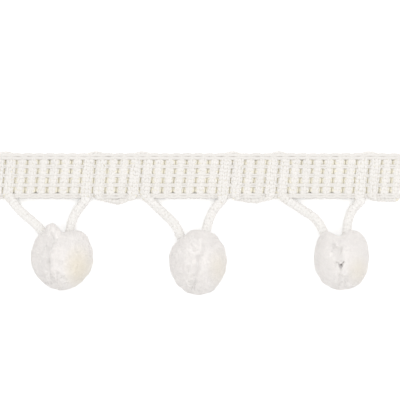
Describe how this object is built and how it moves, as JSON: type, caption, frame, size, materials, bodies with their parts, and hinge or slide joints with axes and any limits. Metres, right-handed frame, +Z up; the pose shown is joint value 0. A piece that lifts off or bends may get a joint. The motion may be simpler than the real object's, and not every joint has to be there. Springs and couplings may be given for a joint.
{
  "type": "pompom fringe trim",
  "caption": "Cut length of crocheted cord braid with round cut-pile pompoms hanging below it on pairs of cord legs.",
  "frame": {"origin": "centre of the bounding box, on the surface that the trim lies on", "axes": "+X along the heading to the right with its face up, +Y from the pompoms towards the heading, +Z up from the surface"},
  "size_m": [0.1834, 0.0598, 0.0233],
  "materials": {
    "chain_row": "matt off-white cotton yarn in chain stitch",
    "ground_cord": "matt off-white knitted cotton cord",
    "pompom_cord": "matt off-white knitted cotton cord",
    "leg": "matt off-white knitted cotton cord",
    "pompom": "matt off-white cut pile"
  },
  "bodies": {
    "root": {"chain_row_1": "chain_row", "chain_row_2": "chain_row", "chain_row_3": "chain_row", "chain_row_4": "chain_row", "chain_row_5": "chain_row", "ground_cord_1": "ground_cord", "ground_cord_2": "ground_cord", "ground_cord_3": "ground_cord", "ground_cord_4": "ground_cord", "ground_cord_5": "ground_cord", "ground_cord_6": "ground_cord", "ground_cord_7": "ground_cord", "pompom_cord_1": "pompom_cord", "pompom_cord_2": "pompom_cord", "pompom_cord_3": "pompom_cord", "pompom_cord_4": "pompom_cord", "leg_1_left": "leg", "leg_1_right": "leg", "leg_2_left": "leg", "leg_2_right": "leg", "leg_3_left": "leg", "leg_3_right": "leg", "pompom_1": "pompom", "pompom_2": "pompom", "pompom_3": "pompom"}
  },
  "joints": []
}
